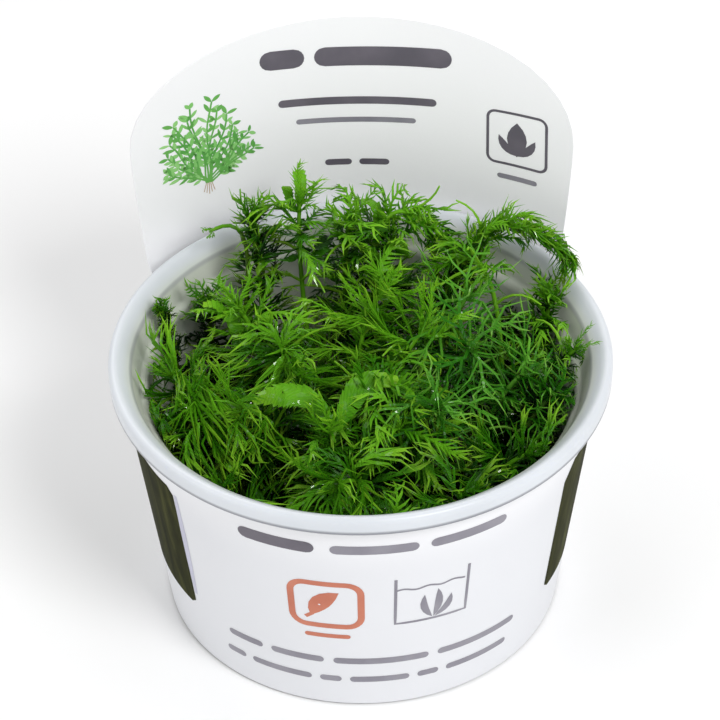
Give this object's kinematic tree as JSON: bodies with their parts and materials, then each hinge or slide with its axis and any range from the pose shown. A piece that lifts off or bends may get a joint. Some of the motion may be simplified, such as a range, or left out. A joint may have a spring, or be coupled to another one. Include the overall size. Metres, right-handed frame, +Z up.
{
  "type": "aquatic milfoil plant in a culture cup",
  "caption": "Feathery green aquatic milfoil shoots rooted in pale gel in a round white plastic cup, with a card sleeve and a rounded back card.",
  "frame": {"origin": "middle of the cup's flat base, on the surface it stands on", "axes": "+Z up along the cup's axis, the tall back card on +Y, the front of the sleeve on -Y"},
  "size_m": [0.09, 0.0938, 0.0913],
  "materials": {
    "cup_plastic": "translucent white, satin",
    "sleeve_card": "smooth coated white card",
    "gel": "wet pale gel",
    "shoot_green": "fresh bright green leaf"
  },
  "bodies": {
    "root": {"cup": "cup_plastic", "label_sleeve": "sleeve_card", "growth_gel": "gel", "shoot_01": "shoot_green", "shoot_02": "shoot_green", "shoot_03": "shoot_green", "shoot_04": "shoot_green", "shoot_05": "shoot_green", "shoot_06": "shoot_green", "shoot_07": "shoot_green", "shoot_08": "shoot_green", "shoot_09": "shoot_green", "shoot_10": "shoot_green", "shoot_11": "shoot_green", "shoot_12": "shoot_green", "shoot_13": "shoot_green", "shoot_14": "shoot_green", "shoot_15": "shoot_green", "shoot_16": "shoot_green", "shoot_17": "shoot_green", "shoot_18": "shoot_green", "shoot_19": "shoot_green", "shoot_20": "shoot_green", "shoot_21": "shoot_green", "shoot_22": "shoot_green", "shoot_23": "shoot_green", "shoot_24": "shoot_green", "shoot_25": "shoot_green", "shoot_26": "shoot_green", "shoot_27": "shoot_green", "shoot_28": "shoot_green", "shoot_29": "shoot_green", "shoot_30": "shoot_green", "shoot_31": "shoot_green", "shoot_32": "shoot_green", "shoot_33": "shoot_green", "shoot_34": "shoot_green"}
  },
  "joints": []
}
